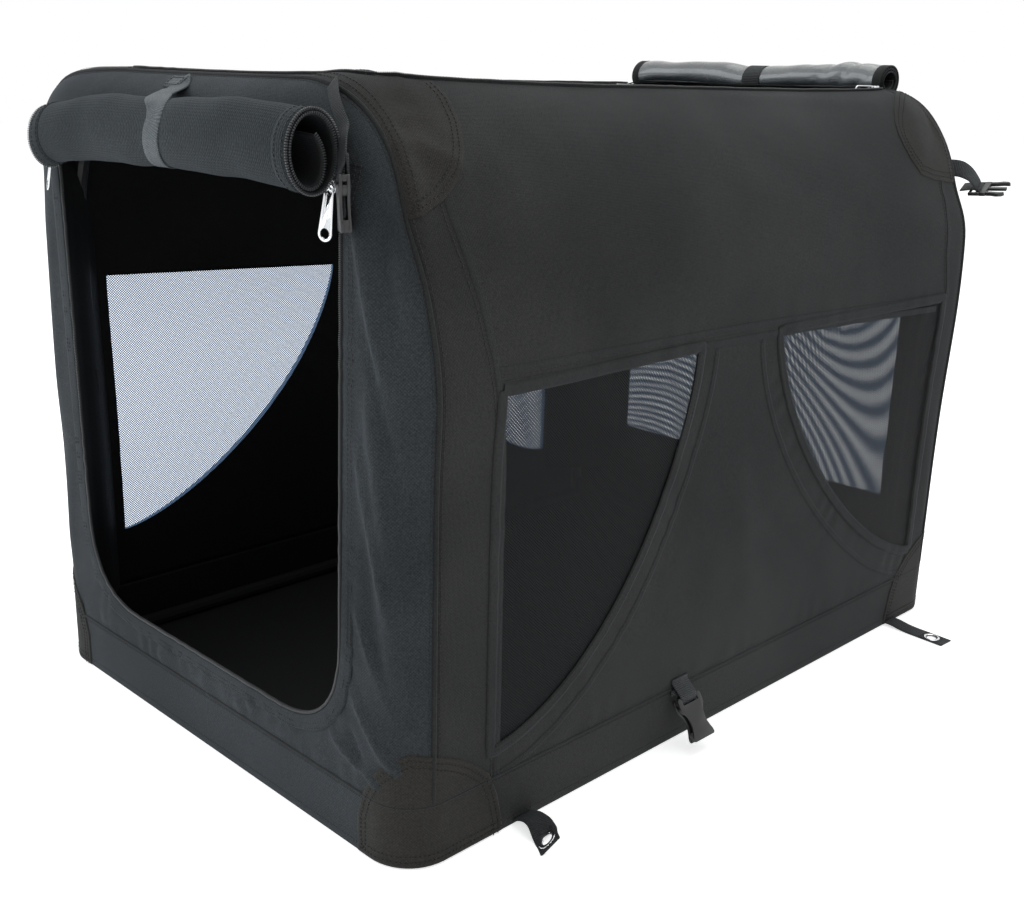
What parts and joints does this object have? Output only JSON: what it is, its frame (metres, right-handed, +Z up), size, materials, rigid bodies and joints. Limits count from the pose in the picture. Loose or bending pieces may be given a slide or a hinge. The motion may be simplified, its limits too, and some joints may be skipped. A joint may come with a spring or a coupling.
{
  "type": "dog crate",
  "caption": "Soft-sided folding dog crate with a rolled-up mesh door, rolled-up roof flap, mesh windows, steel tube frame, zips, straps and ground tabs.",
  "frame": {"origin": "middle of the underside of the whole object's box, on the floor", "axes": "+Z up, -Y out of the door end, +X to the long side with the hanging buckle"},
  "size_m": [0.7894, 1.0284, 0.7002],
  "materials": {
    "cloth": "matte woven polyester, near black",
    "mesh": "open black knitted mesh",
    "coated_cloth": "black cloth with a glossy coated back",
    "webbing": "ribbed dark grey webbing",
    "zip_coil": "black zip tape with nylon coil",
    "floor_board": "stiff black coated board",
    "steel": "dark painted steel tube",
    "chrome": "bright plated metal",
    "plastic": "black moulded plastic"
  },
  "bodies": {
    "base": {"base_frame": "steel", "floor_panel": "floor_board", "lower_band": "cloth", "front_wall": "cloth", "rear_wall": "cloth", "side_wall_left": "cloth", "side_wall_right": "cloth", "front_sleeve": "cloth", "rear_sleeve": "cloth", "front_window_left": "mesh", "front_window_right": "mesh", "rear_window_left": "mesh", "rear_window_right": "mesh", "rear_window": "mesh", "door_zip": "zip_coil", "side_buckle_loop": "webbing"},
    "front_legs": {"lower_leg_front_left": "steel", "lower_leg_front_right": "steel", "knee_bracket_front_left": "steel", "knee_bracket_front_right": "steel"},
    "front_hoop": {"upper_hoop_front": "steel"},
    "rear_legs": {"lower_leg_rear_left": "steel", "lower_leg_rear_right": "steel", "knee_bracket_rear_left": "steel", "knee_bracket_rear_right": "steel"},
    "rear_hoop": {"upper_hoop_rear": "steel"},
    "top_frame": {"roof_rail_left": "steel", "roof_rail_right": "steel", "rail_clamp_front_left": "plastic", "rail_clamp_front_right": "plastic", "rail_clamp_rear_left": "plastic", "rail_clamp_rear_right": "plastic", "roof_roll": "coated_cloth", "roof_strap": "webbing", "roof_zip": "zip_coil", "door_roll": "mesh", "door_strap": "webbing", "front_strap": "webbing", "rear_strap": "webbing"},
    "side_buckle": {"side_buckle": "plastic"},
    "front_buckle": {"front_buckle": "plastic"},
    "rear_buckle": {"rear_buckle": "plastic"},
    "door_slider_right": {"door_slider_right": "chrome"},
    "door_puller_right": {"door_puller_right": "chrome"},
    "door_slider_left": {"door_slider_left": "chrome"},
    "door_puller_left": {"door_puller_left": "chrome"},
    "roof_slider_right": {"roof_slider_right": "chrome"},
    "roof_puller_right": {"roof_puller_right": "chrome"},
    "roof_slider_left": {"roof_slider_left": "chrome"},
    "roof_puller_left": {"roof_puller_left": "chrome"},
    "ground_tab_front_right": {"ground_tab_front_right": "webbing", "grommet_front_right": "chrome"},
    "ground_tab_front_left": {"ground_tab_front_left": "webbing", "grommet_front_left": "chrome"},
    "ground_tab_rear_right": {"ground_tab_rear_right": "webbing", "grommet_rear_right": "chrome"},
    "ground_tab_rear_left": {"ground_tab_rear_left": "webbing", "grommet_rear_left": "chrome"}
  },
  "joints": [
    {"name": "frame_fold", "type": "hinge", "parent": "base", "child": "front_legs", "pos_m": [0, -0.4178, 0.034], "axis": [-1, 0, 0], "range_deg": [0, 82], "deforming": ["front_wall", "rear_wall", "side_wall_left", "side_wall_right", "front_sleeve", "rear_sleeve", "front_window_left", "front_window_right", "rear_window_left", "rear_window_right", "rear_window", "door_zip"]},
    {"name": "front_knee", "type": "hinge", "parent": "front_legs", "child": "front_hoop", "pos_m": [0, -0.4313, 0.3401], "axis": [-1, 0, 0], "range_deg": [-164, 0]},
    {"name": "front_roof_pivot", "type": "hinge", "parent": "front_hoop", "child": "top_frame", "pos_m": [0, -0.4178, 0.6462], "axis": [-1, 0, 0], "range_deg": [0, 82]},
    {"name": "rear_leg_fold", "type": "hinge", "parent": "base", "child": "rear_legs", "pos_m": [0, 0.4082, 0.034], "axis": [-1, 0, 0], "range_deg": [-82, 0]},
    {"name": "rear_knee", "type": "hinge", "parent": "rear_legs", "child": "rear_hoop", "pos_m": [0, 0.4217, 0.3401], "axis": [-1, 0, 0], "range_deg": [0, 164]},
    {"name": "door_slider_right_travel", "type": "slide", "parent": "top_frame", "child": "door_slider_right", "axis": [0.0241, 0, 0.9997], "range_m": [-0.38, 0]},
    {"name": "door_puller_right_swing", "type": "hinge", "parent": "door_slider_right", "child": "door_puller_right", "pos_m": [0.23752, -0.4691, 0.578], "axis": [-1, 0, 0], "range_deg": [0, 60]},
    {"name": "door_slider_left_travel", "type": "slide", "parent": "top_frame", "child": "door_slider_left", "axis": [-0.0241, 0, 0.9997], "range_m": [-0.38, 0]},
    {"name": "door_puller_left_swing", "type": "hinge", "parent": "door_slider_left", "child": "door_puller_left", "pos_m": [-0.23752, -0.4691, 0.578], "axis": [-1, 0, 0], "range_deg": [0, 60]},
    {"name": "roof_slider_right_travel", "type": "slide", "parent": "top_frame", "child": "roof_slider_right", "axis": [0, 1, 0], "range_m": [-0.66, 0]},
    {"name": "roof_puller_right_swing", "type": "hinge", "parent": "roof_slider_right", "child": "roof_puller_right", "pos_m": [0.1927, 0.3802, 0.65056], "axis": [0, 0, -1], "range_deg": [0, 100]},
    {"name": "roof_slider_left_travel", "type": "slide", "parent": "top_frame", "child": "roof_slider_left", "axis": [0, 1, 0], "range_m": [-0.66, 0]},
    {"name": "roof_puller_left_swing", "type": "hinge", "parent": "roof_slider_left", "child": "roof_puller_left", "pos_m": [-0.1927, 0.3802, 0.65056], "axis": [0, 0, 1], "range_deg": [0, 100]},
    {"name": "side_buckle_swing", "type": "hinge", "parent": "base", "child": "side_buckle", "pos_m": [0.3201, -0.0758, 0.056], "axis": [0, -1, 0], "range_deg": [-20, 100]},
    {"name": "front_buckle_swing", "type": "hinge", "parent": "top_frame", "child": "front_buckle", "pos_m": [0.264, -0.4708, 0.59], "axis": [-1, 0, 0], "range_deg": [-5, 100]},
    {"name": "rear_buckle_swing", "type": "hinge", "parent": "top_frame", "child": "rear_buckle", "pos_m": [0.262, 0.4882, 0.558], "axis": [1, 0, 0], "range_deg": [-70, 40]},
    {"name": "ground_tab_front_right_fold", "type": "hinge", "parent": "base", "child": "ground_tab_front_right", "pos_m": [0.3114, -0.3218, 0.0035], "axis": [0, -1, 0], "range_deg": [0, 90]},
    {"name": "ground_tab_front_left_fold", "type": "hinge", "parent": "base", "child": "ground_tab_front_left", "pos_m": [-0.3114, -0.3218, 0.0035], "axis": [0, 1, 0], "range_deg": [0, 90]},
    {"name": "ground_tab_rear_right_fold", "type": "hinge", "parent": "base", "child": "ground_tab_rear_right", "pos_m": [0.3114, 0.3512, 0.0035], "axis": [0, -1, 0], "range_deg": [0, 90]},
    {"name": "ground_tab_rear_left_fold", "type": "hinge", "parent": "base", "child": "ground_tab_rear_left", "pos_m": [-0.3114, 0.3512, 0.0035], "axis": [0, 1, 0], "range_deg": [0, 90]}
  ],
  "couplings": [
    {"joint": "front_knee", "follows": "frame_fold", "ratio": -2},
    {"joint": "front_roof_pivot", "follows": "frame_fold", "ratio": 1},
    {"joint": "rear_leg_fold", "follows": "frame_fold", "ratio": -1},
    {"joint": "rear_knee", "follows": "frame_fold", "ratio": 2}
  ]
}
